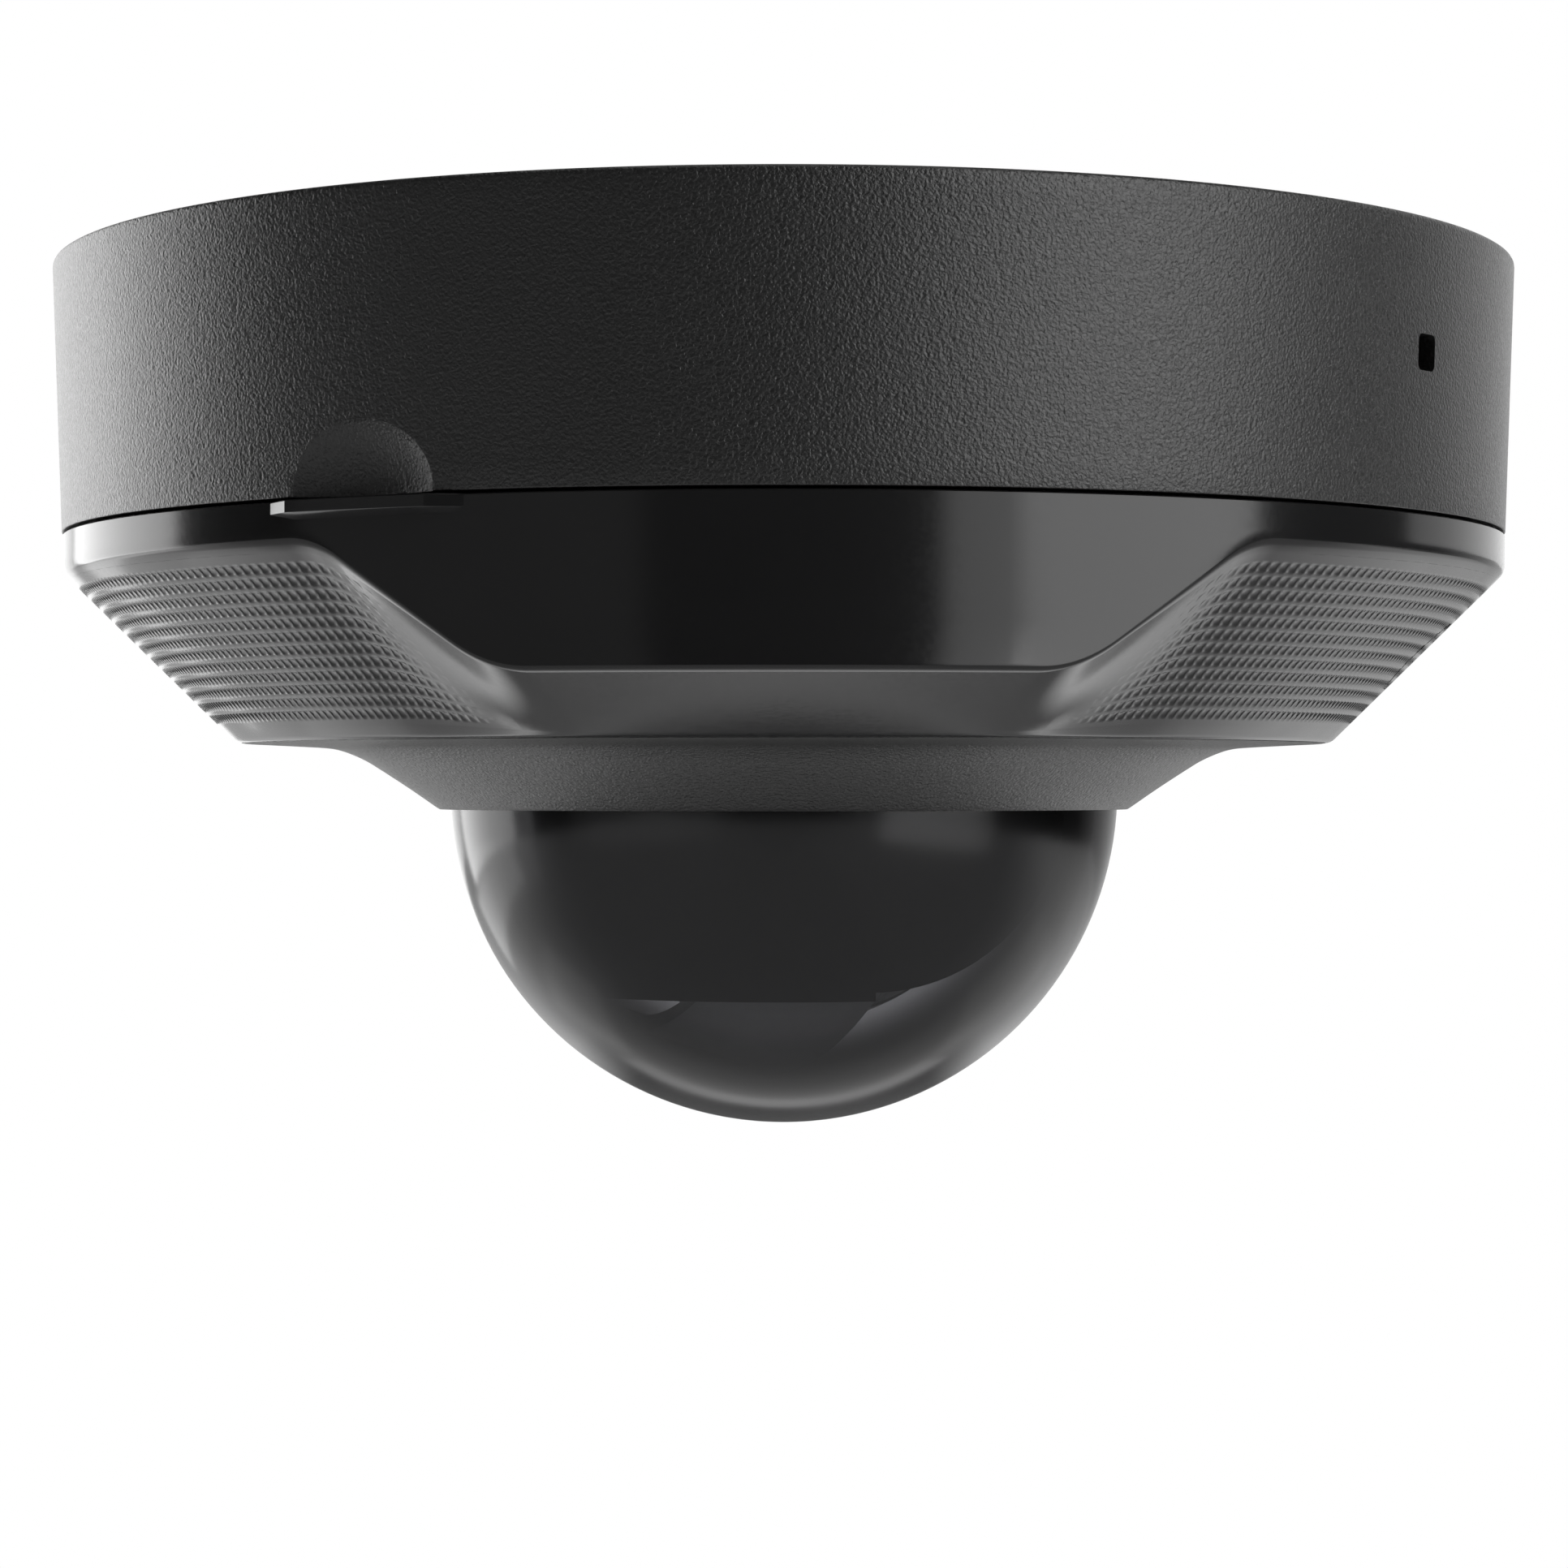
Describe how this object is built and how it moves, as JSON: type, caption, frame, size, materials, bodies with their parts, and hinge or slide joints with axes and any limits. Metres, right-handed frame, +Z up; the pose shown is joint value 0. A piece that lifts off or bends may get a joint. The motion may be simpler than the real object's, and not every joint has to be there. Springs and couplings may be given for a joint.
{
  "type": "dome security camera",
  "caption": "Ceiling dome camera: round textured base, smooth push-fit cover with gripped sides, clear dome over a pan, tilt and roll camera.",
  "frame": {"origin": "centre of the circle of fixing holes, on the ceiling face of the mounting plate", "axes": "+Z up into the ceiling, the dome hangs down along -Z; -Y is the front panel; +X is to the right seen from the front"},
  "size_m": [0.132, 0.132, 0.0772],
  "materials": {
    "textured_black": "fine leather grain, moulded black polycarbonate",
    "smooth_black": "smooth satin black polycarbonate",
    "smoked_clear": "clear polycarbonate with a light smoke tint",
    "inner_black": "fine matt moulded black",
    "steel": "zinc-plated steel",
    "brass": "machined brass",
    "aluminium": "plain aluminium",
    "black_rubber": "black rubber or foam",
    "circuit_board": "green solder mask",
    "chip_black": "black moulded package",
    "thermal_blue": "soft thermal pad",
    "terminal_green": "green moulded housing",
    "connector_ivory": "ivory moulded housing",
    "ribbon_amber": "amber polyimide film",
    "latch_orange": "orange moulded plastic",
    "button_red": "red moulded plastic",
    "led_clear": "clear light-emitting diode",
    "sensor_glass": "glass-faced sensor package",
    "filter_glass": "reddish filter glass",
    "lens_glass": "coated lens glass",
    "card_black": "black moulded card"
  },
  "bodies": {
    "housing": {"mounting_plate": "steel", "ceiling_gasket": "black_rubber", "base_housing": "textured_black", "cable_grommet": "black_rubber", "latch_keeper": "steel", "latch_spring": "steel", "main_board": "circuit_board", "board_screws": "steel", "heat_sink": "aluminium", "thermal_pad": "thermal_blue", "processor": "chip_black", "network_jack": "steel", "terminal_block": "terminal_green", "card_slot": "steel", "reset_switch": "steel", "status_light": "led_clear", "ribbon_connector": "connector_ivory", "ribbon_cable": "ribbon_amber", "chassis_plate": "inner_black", "brass_inserts": "brass", "chassis_screws": "steel", "cover_springs": "steel", "cover_gasket": "black_rubber"},
    "latch": {"release_latch": "latch_orange"},
    "card": {"memory_card": "card_black"},
    "button": {"reset_button": "button_red"},
    "pan_unit": {"pan_ring": "inner_black", "pan_retainer": "inner_black", "retainer_screws": "steel", "pan_lock_screw": "steel", "shroud": "inner_black"},
    "tilt_unit": {"tilt_cradle": "inner_black", "pivot_screws": "steel"},
    "camera": {"camera_shell": "inner_black", "roll_journal": "inner_black", "front_shell": "inner_black", "sensor_board": "circuit_board", "image_sensor": "sensor_glass", "infrared_filter": "filter_glass", "lens_holder": "inner_black", "lens_barrel": "inner_black", "lens_glass": "lens_glass"},
    "focus": {"focus_ring": "inner_black"},
    "cover_unit": {"cover": "smooth_black", "dome_collar": "textured_black", "dome_window": "smoked_clear", "dome_gasket": "black_rubber", "dome_clamp": "inner_black", "clamp_screws_set": "steel"},
    "plug": {"service_plug": "smooth_black"}
  },
  "joints": [
    {"name": "cover_off", "type": "slide", "parent": "housing", "child": "cover_unit", "axis": [0, 0, -1], "range_m": [0, 0.06]},
    {"name": "plug_out", "type": "slide", "parent": "cover_unit", "child": "plug", "axis": [0.6929, -0.141, -0.7071], "range_m": [0, 0.01]},
    {"name": "pan", "type": "hinge", "parent": "housing", "child": "pan_unit", "pos_m": [0, 0, -0.04658], "axis": [0, 0, 1], "range_deg": [-175, 175], "deforming": ["ribbon_cable"]},
    {"name": "tilt", "type": "hinge", "parent": "pan_unit", "child": "tilt_unit", "pos_m": [0, 0, -0.04658], "axis": [0.8387, 0.5446, 0], "range_deg": [-55, 25], "deforming": ["ribbon_cable"]},
    {"name": "roll", "type": "hinge", "parent": "tilt_unit", "child": "camera", "pos_m": [0, 0, -0.04658], "axis": [-0.4717, 0.7263, -0.5], "range_deg": [-50, 10], "deforming": ["ribbon_cable"]},
    {"name": "focus_turn", "type": "hinge", "parent": "camera", "child": "focus", "pos_m": [0, 0, -0.04658], "axis": [-0.4717, 0.7263, -0.5], "range_deg": [-60, 60]},
    {"name": "latch_press", "type": "slide", "parent": "housing", "child": "latch", "axis": [-0.7986, 0.6018, 0], "range_m": [0, 0.0024], "stiffness_N_per_m": 400, "springref_m": -0.001, "deforming": ["latch_spring"]},
    {"name": "card_out", "type": "slide", "parent": "housing", "child": "card", "axis": [0, -1, 0], "range_m": [0, 0.014]},
    {"name": "reset_press", "type": "slide", "parent": "housing", "child": "button", "axis": [0, 0, 1], "range_m": [0, 0.0004], "stiffness_N_per_m": 1500, "springref_m": -0.0003}
  ]
}
